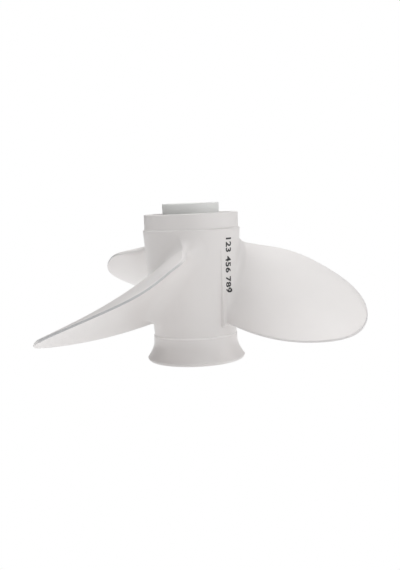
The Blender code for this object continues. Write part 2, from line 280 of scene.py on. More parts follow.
def skin_point(radius, chord, suction):
    """A skin point as radius, angle and height. chord runs from -1, trailing, to 1, leading."""
    span = (radius - ROOT_RADIUS) / (TIP_RADIUS - ROOT_RADIUS)
    reach = min(max(span, 0.0), 1.0)
    angle = math.radians(chord_angle(radius, chord) - SKEW_DEG * reach ** SKEW_POWER)
    height = ROOT_HEIGHT + HELIX_RISE * angle - RAKE_ROOT * span + RAKE_CURVE * span * span
    slope = (2.0 * RAKE_CURVE * span - RAKE_ROOT) / (TIP_RADIUS - ROOT_RADIUS)
    normal = Vector((-slope, -HELIX_RISE / radius, 1.0)).normalized()
    shift = normal * skin_lift(radius, chord, reach, suction)
    return Vector((radius + shift.x, angle + shift.y / radius, height + shift.z))


half_span = between(ROOT_RADIUS, TIP_RADIUS, 0.5)
print("Blade width at half span:", round(2.0 * half_chord(half_span)[1], 1), "mm")

# %% [markdown]
# ## One sector: a third of the barrel with its blade
# The blade is cast with the barrel, so the two have to share one skin. One closed ring of points makes both.
# It starts as the border of a third of the barrel, closes in over the barrel to the blade's footprint,
# climbs a round fillet, and runs out along the blade to the tip, where it is merged to a point. The ring has
# the trailing edge at its first point and the leading edge half way round. The fillet is wide under the
# blade, tighter over it and smallest at the trailing edge. At the leading edge it climbs right up to the
# ledge, where its size is cut back so that it just stays on the barrel.

# %% Columns of the ring
SIDE_STEPS = 38
TOP_STEPS = 60
COLUMNS = 2 * (SIDE_STEPS + TOP_STEPS)
HALF_COLUMNS = COLUMNS // 2
RIM_ROUND = 0.3
LIP_TOP = SEAM_Z + 0.9
LEDGE_ROUND = 1.0
PATCH_LOW = LIP_TOP
PATCH_HIGH = LEDGE_Z - LEDGE_ROUND
FOOT_LIMIT = PATCH_HIGH - 0.35
SECTOR_HALF = math.pi / BLADE_COUNT
FIT_ROUNDS = 4
FIRST_EVENING, LATER_EVENING = 6, 2

# Sizes of the root fillet at places on the chord
SUCTION_FILLETS = ((-1.0, 2.5), (-0.7, 7.0), (0.0, 5.5), (0.9, 7.5), (1.0, 10.0))
PRESSURE_FILLETS = ((-1.0, 2.5), (-0.75, 13.0), (0.9, 13.0), (1.0, 12.0))


def column_chord(column):
    return -math.cos(math.pi * column / HALF_COLUMNS)


def column_fillet(column):
    """The fillet's size at a column, eased between the sizes that are given along the chord."""
    places = SUCTION_FILLETS if column <= HALF_COLUMNS else PRESSURE_FILLETS
    chord = column_chord(column)
    for (start, first), (end, last) in zip(places, places[1:]):
        if chord <= end:
            return between(first, last, smooth((chord - start) / (end - start)))
    return places[-1][1]


def even_out(sizes, rounds):
    """Sizes that change gently from column to column, also round the two noses."""
    for _ in range(rounds):
        sizes = [(sizes[i - 1] + 2.0 * sizes[i] + sizes[(i + 1) % COLUMNS]) / 4.0 for i in range(COLUMNS)]
    return sizes


def on_blade(column, height):
    """The skin point of a column that stands a height above the barrel."""
    place = Vector((ROOT_RADIUS, 0.0, ROOT_HEIGHT))
    for _ in range(FIT_ROUNDS):
        radius = barrel_radius(place.z) + height
        place = skin_point(radius, column_chord(column), column <= HALF_COLUMNS)
    return place


def outward(feet, column):
    """The direction away from the blade along the barrel, as an angle step and a height step."""
    before, after = feet[column - 1], feet[(column + 1) % COLUMNS]
    run = (after.y - before.y) * ROOT_RADIUS
    rise = after.z - before.z
    length = math.hypot(run, rise)
    return -rise / length / ROOT_RADIUS, run / length


def fit_fillets():
    """The fillets' sizes, the skin points on top of them and the directions in which they spread."""
    sizes = even_out([column_fillet(column) for column in range(COLUMNS)], FIRST_EVENING)
    for _ in range(FIT_ROUNDS):
        feet = [on_blade(column, sizes[column]) for column in range(COLUMNS)]
        ways = [outward(feet, column) for column in range(COLUMNS)]
        for column in range(COLUMNS):
            over = on_blade(column, 0.0).z + sizes[column] * ways[column][1] - FOOT_LIMIT
            if over > 0.0:
                sizes[column] -= over / ways[column][1]
        sizes = even_out(sizes, LATER_EVENING)
    feet = [on_blade(column, sizes[column]) for column in range(COLUMNS)]
    return sizes, feet, [outward(feet, column) for column in range(COLUMNS)]


FILLETS, FEET, OUTWARD = fit_fillets()
print("Fillets from", round(min(FILLETS), 2), "to", round(max(FILLETS), 2), "mm,", COLUMNS, "columns")


# %% Rings of the sector
PATCH_RINGS = 14
PATCH_CROWDING = 1.8
FILLET_RINGS = 10
SPAN_RINGS = 64
SPAN_CROWDING = 2.0
# The painted shade on the blades' rims: how wide it is, its strength at the trailing edge, and how fast it
# fades towards the nose
RIM_WIDTH = 0.9
RIM_TRAILING = 0.3
RIM_FADE = 3.0


def crowded(step, steps, power):
    """The share of the way at a step, with the steps closer together towards the end."""
    return 1.0 - (1.0 - step / steps) ** power


def border_ring():
    """The edge of the barrel's third, from its lower left corner up, across, down and back."""
    points = []
    for step in range(SIDE_STEPS):
        points.append((-SECTOR_HALF, between(PATCH_LOW, PATCH_HIGH, step / SIDE_STEPS)))
    for step in range(TOP_STEPS):
        points.append((between(-SECTOR_HALF, SECTOR_HALF, step / TOP_STEPS), PATCH_HIGH))
    for step in range(SIDE_STEPS):
        points.append((SECTOR_HALF, between(PATCH_HIGH, PATCH_LOW, step / SIDE_STEPS)))
    for step in range(TOP_STEPS):
        points.append((between(SECTOR_HALF, -SECTOR_HALF, step / TOP_STEPS), PATCH_LOW))
    return points


def fillet_point(column, turn):
    """A point of the root fillet. turn is 0 where it leaves the barrel and a quarter turn on the blade."""
    size = FILLETS[column]
    height = size * (1.0 - math.cos(turn))
    spread = size * (1.0 - math.sin(turn))
    place = on_blade(column, height)
    angle = place.y + spread * OUTWARD[column][0]
    z = place.z + spread * OUTWARD[column][1]
    return barrel_radius(z) + height, angle, z


def span_radius(column, step):
    """The radius of a ring's point beyond the fillet, which ends at step 0."""
    start = barrel_radius(FEET[column].z) + FILLETS[column]
    return between(start, TIP_RADIUS, crowded(step, SPAN_RINGS, SPAN_CROWDING))


def sector_rings():
    border = border_ring()
    footprint = [fillet_point(column, 0.0) for column in range(COLUMNS)]
    rings = [[polar(barrel_radius(z), angle, z) for angle, z in border]]
    for step in range(1, PATCH_RINGS):
        share = crowded(step, PATCH_RINGS, PATCH_CROWDING)
        ring = []
        for (angle, z), (_, foot_angle, foot_z) in zip(border, footprint):
            height = between(z, foot_z, share)
            ring.append(polar(barrel_radius(height), between(angle, foot_angle, share), height))
        rings.append(ring)
    for step in range(FILLET_RINGS + 1):
        turn = 0.5 * math.pi * step / FILLET_RINGS
        rings.append([polar(*fillet_point(column, turn)) for column in range(COLUMNS)])
    for step in range(1, SPAN_RINGS):
        ring = []
        for column in range(COLUMNS):
            radius = span_radius(column, step)
            ring.append(polar(*skin_point(radius, column_chord(column), column <= HALF_COLUMNS)))
        rings.append(ring)
    return rings


def rim_share(number):
    """How much a point of the loft lies on the blade's ground rim, from 0 to 1, where painted shade darkens
    it.
    """
    step, column = divmod(number, COLUMNS)
    step -= PATCH_RINGS + FILLET_RINGS
    if step < 1:
        return 0.0
    radius = span_radius(column, step)
    inside = inside_outline(radius, column_chord(column))
    leading = column_chord(column) > 0.0
    strength = max(1.0 - RIM_FADE * root_share(radius), 0.0) if leading else RIM_TRAILING
    return max(1.0 - inside / RIM_WIDTH, 0.0) * strength


sector = loft("propeller_casting", sector_rings())
bpy.ops.object.mode_set(mode="OBJECT")
# The rim attribute marks where a darker grey is painted on as shade along the blades' edges
rim = sector.data.attributes.new("rim", "FLOAT", "POINT")
for number, item in enumerate(rim.data):
    item.value = rim_share(number)
bpy.ops.object.mode_set(mode="EDIT")
bpy.ops.mesh.merge(type="CENTER")
bpy.ops.object.mode_set(mode="OBJECT")
print("One sector has", len(sector.data.polygons), "faces")

# %% [markdown]
# ## Three sectors make the casting
# The finished third is copied twice, turned about the shaft, and the three are joined and welded along their
# straight borders. Turning the copies in their meshes keeps every object at the origin.

# %% Copy and join the sectors
casting = sector
copies = []
for number in range(1, BLADE_COUNT):
    turned = bpy.data.objects.new(f"sector_{number + 1}", sector.data.copy())
    bpy.context.scene.collection.objects.link(turned)
    turned.data.transform(Matrix.Rotation(2.0 * math.pi * number / BLADE_COUNT, 4, "Z"))
    copies.append(turned)
deselect_all()
for piece in copies + [casting]:
    piece.select_set(True)
bpy.context.view_layer.objects.active = casting
bpy.ops.object.join()
bpy.ops.object.mode_set(mode="EDIT")
bpy.ops.mesh.select_all(action="SELECT")
bpy.ops.mesh.remove_doubles(threshold=2e-6)
bpy.ops.object.mode_set(mode="OBJECT")
print("Three sectors have", len(casting.data.polygons), "faces")

# %% [markdown]
# ## The collar and the hollow inside
# The barrel ends in a ledge, above which a narrower collar stands up. Its bore leads down through the hub to
# the seam with the rear ring. This wall is turned, so its section is a short list of radii and heights with
# small rounds at the corners, and the barrel's open upper rim is extruded along it until it meets the lower
# rim again.

# %% Collar, bore and rear edge
INNER_CORNER = 0.4
COLLAR_ROUND = 0.6
BORE_STEP_Z = 94.6
BORE_SHARES = (0.33, 0.66)
ROUND_POINTS = 5
SPIGOT_RADIUS = BARREL_AFT_RADIUS - 0.5
LEVEL_TOLERANCE = 1e-5
CASTING_SHARP_DEG = 75.0


def arc(centre_radius, centre_z, size, start_deg, end_deg):
    """Points of a round corner in the turned section, from one angle to another."""
    points = []
    for step in range(ROUND_POINTS + 1):
        turn = math.radians(between(start_deg, end_deg, step / ROUND_POINTS))
        points.append((centre_radius + size * math.cos(turn), centre_z + size * math.sin(turn)))
    return points


def wall_section():
    rim = barrel_radius(PATCH_HIGH)
    low = SEAM_Z + SEAM_GAP
    bore_high = barrel_radius(BORE_STEP_Z) - BARREL_WALL
    bore_low = barrel_radius(low) - BARREL_WALL
    foot = barrel_radius(PATCH_LOW)
    points = arc(rim - LEDGE_ROUND, PATCH_HIGH, LEDGE_ROUND, 0.0, 90.0)[1:]
    points += arc(COLLAR_RADIUS + INNER_CORNER, LEDGE_Z + INNER_CORNER, INNER_CORNER, 270.0, 180.0)
    points += arc(COLLAR_RADIUS - COLLAR_ROUND, COLLAR_Z - COLLAR_ROUND, COLLAR_ROUND, 0.0, 90.0)
    points += arc(COLLAR_BORE + COLLAR_ROUND, COLLAR_Z - COLLAR_ROUND, COLLAR_ROUND, 90.0, 180.0)
    points += [(COLLAR_BORE, LEDGE_Z + INNER_CORNER), (bore_high, BORE_STEP_Z)]
    for share in BORE_SHARES:
        points.append((between(bore_high, bore_low, share), between(BORE_STEP_Z, low, share)))
    points += arc(bore_low + RIM_ROUND, low + RIM_ROUND, RIM_ROUND, 180.0, 270.0)
    points += [(SPIGOT_RADIUS, low), (SPIGOT_RADIUS, LIP_TOP), (foot, LIP_TOP)]
    return points


def at_level(vert, z):
    return abs(vert.co.z - z * MM) < LEVEL_TOLERANCE


def select_border(piece, z):
    """Select the piece's open edges at one height, and give their points in order round the shaft."""
    mesh = bmesh.from_edit_mesh(piece.data)
    border = [edge for edge in mesh.edges if edge.is_boundary]
    level = [edge for edge in border if all(at_level(vert, z) for vert in edge.verts)]
    for edge in level:
        edge.select_set(True)
    bmesh.update_edit_mesh(piece.data)
    mesh.verts.index_update()
    points = {vert.index: math.atan2(vert.co.y, vert.co.x) for edge in level for vert in edge.verts}
    return sorted(points, key=points.get), sorted(points.values())


deselect_all()
bpy.context.view_layer.objects.active = casting
casting.select_set(True)
bpy.ops.object.mode_set(mode="EDIT")
bpy.ops.mesh.select_mode(type="VERT")
bpy.ops.mesh.select_all(action="DESELECT")
ring, azimuths = select_border(casting, PATCH_HIGH)
for radius, z in wall_section():
    ring = extrude_ring(casting, ring, [polar(radius, azimuth, z) for azimuth in azimuths])
finish_mesh(casting, weld=3e-6, sharp_deg=CASTING_SHARP_DEG)
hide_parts("outer_barrel", "blade_1", "blade_2", "blade_3")
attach(casting, "root")

# %% [markdown]
# ## The flat pad
# Beside the first blade's root a flat pad stands on the barrel. Its face runs straighter than the tapered
# barrel, so it stands proud at the rear and is almost flush at the front. It is a box with its corners moved
# to the pad's own places, softly bevelled, and joined in by a union. Each end of the pad is given by its
# height, how far its face stands from the shaft, and half of its width.

# %% Flat pad
PAD_AZIMUTH = math.radians(-32.0)
PAD_LOW = (25.0, 32.3, 6.8)
PAD_HIGH = (92.5, 33.3, 8.6)
PAD_DEPTH = 3.2
PAD_BEVEL = 0.45
PAD_END_SLOPE = 1.6
PAD_OUTWARDS = Vector((math.cos(PAD_AZIMUTH), math.sin(PAD_AZIMUTH), 0.0))
PAD_SIDEWAYS = Vector((-PAD_OUTWARDS.y, PAD_OUTWARDS.x, 0.0))


def pad_corner(x_side, y_side, z_side):
    """A corner of the pad: x_side is depth, y_side is across and z_side is the end, each -1 or 1."""
    z, reach, half = PAD_HIGH if z_side > 0 else PAD_LOW
    if x_side < 0:
        reach -= PAD_DEPTH
    else:
        z -= z_side * PAD_END_SLOPE
    return (PAD_OUTWARDS * reach + PAD_SIDEWAYS * (y_side * half) + Vector((0.0, 0.0, z))) * MM


deselect_all()
bpy.ops.mesh.primitive_cube_add(size=2.0)
pad = bpy.context.object
pad.name = "size_pad"
for vert in pad.data.vertices:
    vert.co = pad_corner(*[round(value) for value in vert.co])
bpy.ops.object.mode_set(mode="EDIT")
bpy.ops.mesh.select_all(action="SELECT")
bpy.ops.mesh.bevel(offset=PAD_BEVEL * MM, segments=3, affect="EDGES")
bpy.ops.mesh.normals_make_consistent(inside=False)
bpy.ops.object.mode_set(mode="OBJECT")
apply_union(casting, pad)
finish_mesh(casting, weld=1e-7, sharp_deg=CASTING_SHARP_DEG)

# %% [markdown]
# ## Printed numbers on the pad
# A dark row of plain numbers is printed down the pad. It is a text object that is made a mesh, cut finer,
# and laid on the casting: each of its points is moved to the place where a ray from outside meets the
# casting's skin. The ink is a tenth of a millimetre thick.

# %% Pad numbers
NUMBERS = "123 456 789"
NUMBER_SIZE = 7.4
NUMBER_SPACING = 1.07
NUMBER_WEIGHT = 0.028
INK_HALF = 0.05
INK_LIFT = 1.2 * INK_HALF
NUMBERS_TOP_Z = 89.8
NUMBERS_SIDE, NUMBERS_LEAN = -3.9, 0.012
RAY_START = 100.0

deselect_all()
bpy.ops.object.text_add(location=(0.0, 0.0, 0.0))
numbers = bpy.context.object
numbers.name = "pad_numbers"
numbers.data.body = NUMBERS
numbers.data.size = NUMBER_SIZE * MM
numbers.data.space_character = NUMBER_SPACING
numbers.data.offset = NUMBER_WEIGHT * NUMBER_SIZE * MM
numbers.data.extrude = INK_HALF * MM
numbers.data.resolution_u = 4
bpy.ops.object.convert(target="MESH")
bpy.ops.object.mode_set(mode="EDIT")
bpy.ops.mesh.select_all(action="SELECT")
bpy.ops.mesh.remove_doubles(threshold=1e-6)
bpy.ops.mesh.quads_convert_to_tris()
bpy.ops.mesh.subdivide(number_cuts=1)
bpy.ops.object.mode_set(mode="OBJECT")


def lay_on_casting(piece):
    """Turn flat text so that it runs down the pad, and press it onto the casting."""
    for vert in piece.data.vertices:
        across = PAD_SIDEWAYS * (vert.co.y + NUMBERS_SIDE * MM + NUMBERS_LEAN * vert.co.x)
        height = Vector((0.0, 0.0, NUMBERS_TOP_Z * MM - vert.co.x))
        start = across + height + PAD_OUTWARDS * (RAY_START * MM)
        place = casting.ray_cast(start, -PAD_OUTWARDS)[1]
        vert.co = place + PAD_OUTWARDS * (vert.co.z + INK_LIFT * MM)


lay_on_casting(numbers)
finish_mesh(numbers, weld=1e-7)
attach(numbers, "root")

# %% [markdown]
# ## The flared ring at the rear
# A separate turned ring closes the hub. Its upper edge is a thin sloping lip that wraps round a spigot on the
# casting, so the joint shows as one fine light line: partly the lip's slope catching the light, and partly a
# painted highlight, a lighter paint on the lip. Below that its outside is a waist that flares to a rounded
# rim, and it stands on a narrow flat foot. One ring of points is lofted round the section. The ring is a few
# hundredths of a millimetre clear of the spigot all round.

# %% Diffuser ring
ROUND_STEPS = 180
FLARE_WAIST_RADIUS = 30.5
FLARE_WAIST_Z = 14.0
FLARE_WIDEST_RADIUS = 35.4
FLARE_WIDEST_Z = 2.6
FLARE_FOOT_RADIUS, FLARE_FOOT_BORE = 32.2, 30.2
FLARE_POWER = 1.7
FLARE_LEVELS = (3.4, 4.2, 5.0, 6.0, 7.0, 8.0, 9.0, 10.0, 11.0, 12.0, 13.0, 14.0)
FLARE_RIM_STEPS = 8
SEAM_BORE = BARREL_AFT_RADIUS - BARREL_WALL
EDGE_ROUND = 0.5
TOP_CLEARANCE, SPIGOT_CLEARANCE, SHOULDER_CLEARANCE = 0.02, 0.05, 0.03
SHOULDER_WIDTH = 2.0

# The lip's outside, as steps from its widest radius and from the seam
LIP_RADIUS = 30.5
LIP_OUTSIDE = ((-0.15, -1.3), (-0.05, -0.7), (0.0, -0.3), (-0.05, 0.0))

# The ring's bore, as how much wider it is than the seam's bore at a height
RING_BORE = ((0.3, 12.0), (0.8, 9.5), (1.6, 7.0), (2.6, 4.6), (3.8, 2.0))


def flare_radius(z):
    share = max(FLARE_WAIST_Z - z, 0.0) / (FLARE_WAIST_Z - FLARE_WIDEST_Z)
    return between(FLARE_WAIST_RADIUS, FLARE_WIDEST_RADIUS, share ** FLARE_POWER)


def turned_rings(section):
    angles = [2.0 * math.pi * step / ROUND_STEPS for step in range(ROUND_STEPS)]
    return [[polar(radius, angle, z) for angle in angles] for radius, z in section]


def rounded_rim():
    """The flare's lower edge, from the foot up to where the ring is widest."""
    points = []
    for step in range(1, FLARE_RIM_STEPS + 1):
        turn = 0.5 * math.pi * step / FLARE_RIM_STEPS
        radius = between(FLARE_FOOT_RADIUS, FLARE_WIDEST_RADIUS, math.sin(turn))
        points.append((radius, FLARE_WIDEST_Z * (1.0 - math.cos(turn))))
    return points


def ring_section():
    spigot_side = SPIGOT_RADIUS + SPIGOT_CLEARANCE
    top = LIP_TOP - TOP_CLEARANCE
    shoulder = SEAM_Z + SEAM_GAP - SHOULDER_CLEARANCE
    points = [(FLARE_FOOT_BORE, 0.0), (FLARE_FOOT_RADIUS, 0.0)] + rounded_rim()
    points += [(flare_radius(z), z) for z in FLARE_LEVELS]
    points += [(LIP_RADIUS + inward, SEAM_Z + below) for inward, below in LIP_OUTSIDE]
    points += [(BARREL_AFT_RADIUS, top), (spigot_side, top)]
    points += [(spigot_side, shoulder), (SEAM_BORE + SHOULDER_WIDTH, SEAM_Z)]
    points += arc(SEAM_BORE + EDGE_ROUND, SEAM_Z - EDGE_ROUND, EDGE_ROUND, 90.0, 180.0)
    points += [(SEAM_BORE + wider, z) for wider, z in RING_BORE]
    return points + points[:1]


diffuser = loft("flared_ring", turned_rings(ring_section()))
finish_mesh(diffuser)
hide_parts("diffuser_ring")
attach(diffuser, "root")

# %% [markdown]
# ## The inner barrel and its ribs
# Inside the hub a second barrel carries the drive. Three flat ribs join it to the outer barrel, and the
# exhaust leaves between them. The barrel is turned, and its forward end, with two faint turned lines round
# it, stands out of the collar. Each rib is a flat web that widens into a fillet at both ends, with its outer
# end sunk in the outer barrel's wall.

# %% Inner barrel
INNER_AFT_Z, INNER_FORE_Z = 27.0, 113.4
INNER_AFT_RADIUS, INNER_FORE_RADIUS = 18.9, 20.4
INNER_BORE = 16.6
INNER_CHAMFER = 0.8
INNER_LEVELS = (50.0, 75.0, 100.0)
TURNED_LEVELS = (108.0, 111.6)
TURNED_DEPTH, TURNED_HALF = 0.05, 0.4


def inner_radius(z):
    return between(INNER_AFT_RADIUS, INNER_FORE_RADIUS, (z - INNER_AFT_Z) / (INNER_FORE_Z - INNER_AFT_Z))


def inner_section():
    fore, aft = INNER_FORE_Z - EDGE_ROUND, INNER_AFT_Z + EDGE_ROUND
    points = arc(INNER_AFT_RADIUS - EDGE_ROUND, aft, EDGE_ROUND, 270.0, 360.0)
    points += [(inner_radius(z), z) for z in INNER_LEVELS]
    for z in TURNED_LEVELS:
        points += [(inner_radius(z), z - TURNED_HALF), (inner_radius(z) - TURNED_DEPTH, z)]
        points.append((inner_radius(z), z + TURNED_HALF))
    points += arc(INNER_FORE_RADIUS - EDGE_ROUND, fore, EDGE_ROUND, 0.0, 90.0)
    points += [(INNER_BORE + INNER_CHAMFER, INNER_FORE_Z), (INNER_BORE, INNER_FORE_Z - INNER_CHAMFER)]
    points += [(INNER_BORE, INNER_AFT_Z + INNER_CHAMFER), (INNER_BORE + INNER_CHAMFER, INNER_AFT_Z)]
    return points + points[:1]


inner = loft("inner_barrel_turned", turned_rings(inner_section()))
finish_mesh(inner)

# %% Ribs
RIB_LOW_Z, RIB_HIGH_Z = 32.0, 92.0
RIB_HALF = 2.1
RIB_FILLET = 2.4
RIB_FILLET_STEPS = 8
RIB_SINK = 0.8
RIB_AZIMUTH = math.radians(60.0)
RIB_LEVELS = (0.0, 0.012, 0.03, 0.5, 0.97, 0.988, 1.0)
RIB_EDGE, RIB_EDGE_DEPTH = 1.0, 1.8


def rib_fillet(step):
    """A point of a rib's fillet: how far it is from the barrel, and how much wider the rib is there."""
    turn = 0.5 * math.pi * step / RIB_FILLET_STEPS
    return RIB_FILLET * (1.0 - math.cos(turn)), RIB_FILLET * (1.0 - math.sin(turn))


def rib_outline(z, shrink):
    """One level of a rib: its outline from above, with fillets that widen towards both barrels."""
    near = inner_radius(z) - RIB_SINK
    far = barrel_radius(z) - BARREL_WALL + RIB_SINK
    fillet = [rib_fillet(step) for step in range(RIB_FILLET_STEPS + 1)]
    side = [(near, RIB_FILLET)]
    side += [(near + RIB_SINK + away, wider) for away, wider in fillet]
    side += [(far - RIB_SINK - away, wider) for away, wider in reversed(fillet)]
    side.append((far, RIB_FILLET))
    right = [(reach, -(RIB_HALF + wider - shrink)) for reach, wider in side]
    left = [(reach, RIB_HALF + wider - shrink) for reach, wider in reversed(side)]
    return right + left


def rib_rings(number):
    azimuth = RIB_AZIMUTH + 2.0 * math.pi * number / BLADE_COUNT
    turn = Matrix.Rotation(azimuth, 3, "Z")
    rings = []
    for level in RIB_LEVELS:
        z = between(RIB_LOW_Z, RIB_HIGH_Z, level)
        into_edge = min(level, 1.0 - level) * (RIB_HIGH_Z - RIB_LOW_Z) / RIB_EDGE_DEPTH
        shrink = RIB_EDGE * (1.0 - math.sqrt(1.0 - (1.0 - min(into_edge, 1.0)) ** 2))
        rings.append([turn @ Vector((x, y, z)) * MM for x, y in rib_outline(z, shrink)])
    return rings


for number in range(BLADE_COUNT):
    rib = loft(f"rib_{number + 1}_fine", rib_rings(number))
    bpy.ops.mesh.edge_face_add()
    bpy.ops.mesh.select_all(action="DESELECT")
    rib_mesh = bmesh.from_edit_mesh(rib.data)
    for vert in rib_mesh.verts:
        vert.select_set(at_level(vert, RIB_LOW_Z))
    rib_mesh.select_flush(True)
    bpy.ops.mesh.edge_face_add()
    finish_mesh(rib)
    apply_union(inner, rib)
finish_mesh(inner, weld=1e-7)
inner.name = "inner_hub"
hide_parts("inner_barrel", "rib_1", "rib_2", "rib_3")
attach(inner, "root")

# %% [markdown]
# ## The rubber bush
# A thick rubber tube is pressed between the inner barrel and the splined sleeve, and takes up shocks. Its
# ends are moulded with a shallow round groove.

# %% Rubber bush
BUSH_AFT_Z, BUSH_FORE_Z = 31.0, 111.4
BUSH_BORE = 11.6
BUSH_RADIUS = INNER_BORE - SEAM_GAP
BUSH_CHAMFER = 0.5
GROOVE_DEPTH = 0.9
GROOVE_STEPS = 12


def bush_end(z, inward):
    """The end of the rubber from its outside to its bore, dished by a shallow groove."""
    points = []
    for step in range(GROOVE_STEPS + 1):
        share = step / GROOVE_STEPS
        dip = GROOVE_DEPTH * math.sin(math.pi * share) ** 2
        radius = between(BUSH_RADIUS - BUSH_CHAMFER, BUSH_BORE + BUSH_CHAMFER, share)
        points.append((radius, z + inward * dip))
    return points


def bush_section():
    fore = bush_end(BUSH_FORE_Z, -1.0)
    aft = bush_end(BUSH_AFT_Z, 1.0)[::-1]
    low, high = BUSH_AFT_Z + BUSH_CHAMFER, BUSH_FORE_Z - BUSH_CHAMFER
    points = [(BUSH_RADIUS, low), (BUSH_RADIUS, high)] + fore
    points += [(BUSH_BORE, high), (BUSH_BORE, low)] + aft
    return points + points[:1]


bush = loft("rubber_bush_moulded", turned_rings(bush_section()))
finish_mesh(bush)
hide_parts("rubber_bush")
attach(bush, "root")

# %% [markdown]
# ## The splined sleeve
# The drive enters through a metal sleeve with ten splines. A spline's flanks are steep and its corners small
# and round, which a softened square wave gives. The bore ring and the outer ring are lofted into one tube
# with chamfered ends.

# %% Splined sleeve
SLEEVE_AFT_Z, SLEEVE_FORE_Z = 29.0, 112.9
SLEEVE_RADIUS = BUSH_BORE - SEAM_GAP
SPLINE_COUNT = 10
SPLINE_ROOT_RADIUS, SPLINE_TIP_RADIUS = 9.4, 8.2
SPLINE_STEEPNESS = 3.2
SPLINE_COLUMNS = 240
SPLINE_MOUTH = SPLINE_ROOT_RADIUS + 0.2
MOUTH_DEPTH = 0.7
SLEEVE_CHAMFER = 0.4


def spline_radius(angle):
    wave = SPLINE_STEEPNESS * math.sin(SPLINE_COUNT * angle)
    share = 0.5 - 0.5 * math.tanh(wave) / math.tanh(SPLINE_STEEPNESS)
    return between(SPLINE_TIP_RADIUS, SPLINE_ROOT_RADIUS, share)


def sleeve_rings():
    angles = [2.0 * math.pi * step / SPLINE_COLUMNS for step in range(SPLINE_COLUMNS)]
    shoulder = SLEEVE_RADIUS - SLEEVE_CHAMFER
    outside = [(shoulder, SLEEVE_AFT_Z), (SLEEVE_RADIUS, SLEEVE_AFT_Z + SLEEVE_CHAMFER)]
    outside += [(SLEEVE_RADIUS, SLEEVE_FORE_Z - SLEEVE_CHAMFER), (shoulder, SLEEVE_FORE_Z)]
    outside.append((SPLINE_MOUTH, SLEEVE_FORE_Z))
    rings = [[polar(radius, angle, z) for angle in angles] for radius, z in outside]
    for z in (SLEEVE_FORE_Z - MOUTH_DEPTH, SLEEVE_AFT_Z + MOUTH_DEPTH):
        rings.append([polar(spline_radius(angle), angle, z) for angle in angles])
    rings.append([polar(SPLINE_MOUTH, angle, SLEEVE_AFT_Z) for angle in angles])
    return rings + rings[:1]


sleeve = loft("splined_sleeve_cut", sleeve_rings())
finish_mesh(sleeve)
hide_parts("splined_sleeve")
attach(sleeve, "root")

# %% [markdown]
# ## Finishes
# The paint is a slightly warm white with a soft gloss. Close up it is not even: the sprayed film has a fine
# orange peel, and the cast metal under it is a little wavy. A node group makes both from noise in object
# coordinates and gives out a colour, a roughness and a height for the material's bump.

# %% Helpers for materials
# The numbers of a Mix node's sockets, when it mixes colours
MIX_FIRST, MIX_SECOND, MIX_RESULT = 6, 7, 2


def new_material(name, colour, roughness, metallic=0.0):
    material = bpy.data.materials.new(name)
    material.use_nodes = True
    shader = material.node_tree.nodes["Principled BSDF"]
    shader.inputs["Base Color"].default_value = (*colour, 1.0)
    shader.inputs["Roughness"].default_value = roughness
    shader.inputs["Metallic"].default_value = metallic
    return material, shader


def assign(piece, material):
    piece.data.materials.clear()
    piece.data.materials.append(material)


def skin_group(name, ranges, colours):
    """An empty group with named inputs, and the three outputs that every finish here gives out."""
    group = bpy.data.node_groups.new(name, "ShaderNodeTree")
    for title, highest in ranges:
        socket = group.interface.new_socket(title, in_out="INPUT", socket_type="NodeSocketFloat")
        socket.min_value, socket.max_value = 0.0, highest
    for title in colours:
        group.interface.new_socket(title, in_out="INPUT", socket_type="NodeSocketColor")
    group.interface.new_socket("Colour", in_out="OUTPUT", socket_type="NodeSocketColor")
    for title in ("Roughness", "Height"):
        group.interface.new_socket(title, in_out="OUTPUT", socket_type="NodeSocketFloat")
    return group, group.nodes.new("NodeGroupInput"), group.nodes.new("NodeGroupOutput")


def add_texture(group, kind, place, scale):
    texture = group.nodes.new(kind)
    group.links.new(place, texture.inputs["Vector"])
    group.links.new(scale, texture.inputs["Scale"])
    return texture


def mix_colours(tree, share, first, second=None):
    """A node that mixes two colours. Without a second socket, the second colour is set afterwards."""
    mix = tree.nodes.new("ShaderNodeMix")
    mix.data_type = "RGBA"
    tree.links.new(share, mix.inputs["Factor"])
    tree.links.new(first, mix.inputs[MIX_FIRST])
    if second:
        tree.links.new(second, mix.inputs[MIX_SECOND])
    return mix


def scale_and_add(group, value, factor, base):
    """A value times a plain factor, plus a base value."""
    node = group.nodes.new("ShaderNodeMath")
    node.operation = "MULTIPLY_ADD"
    group.links.new(value, node.inputs[0])
    node.inputs[1].default_value = factor
    group.links.new(base, node.inputs[2])
    return node.outputs["Value"]


def give_out(group, result, colour, roughness, height):
    group.links.new(colour, result.inputs["Colour"])
    group.links.new(roughness, result.inputs["Roughness"])
    group.links.new(height, result.inputs["Height"])


def dress(material, shader, group, values, bump_strength, bump_mm):
    """Place a skin group in a material with its own values, and feed the shader from it."""
    nodes, links = material.node_tree.nodes, material.node_tree.links
    skin = nodes.new("ShaderNodeGroup")
    skin.node_tree = group
    for title, value in values.items():
        skin.inputs[title].default_value = value
    bump = nodes.new("ShaderNodeBump")
    bump.inputs["Strength"].default_value = bump_strength
    bump.inputs["Distance"].default_value = bump_mm * MM
    links.new(skin.outputs["Colour"], shader.inputs["Base Color"])
    links.new(skin.outputs["Roughness"], shader.inputs["Roughness"])
    links.new(skin.outputs["Height"], bump.inputs["Height"])
    links.new(bump.outputs["Normal"], shader.inputs["Normal"])
    return skin


# %% Paint
DULL_SPREAD = 0.12
WAVE_HEIGHT = 2.5
PAINT_BUMP = 0.35


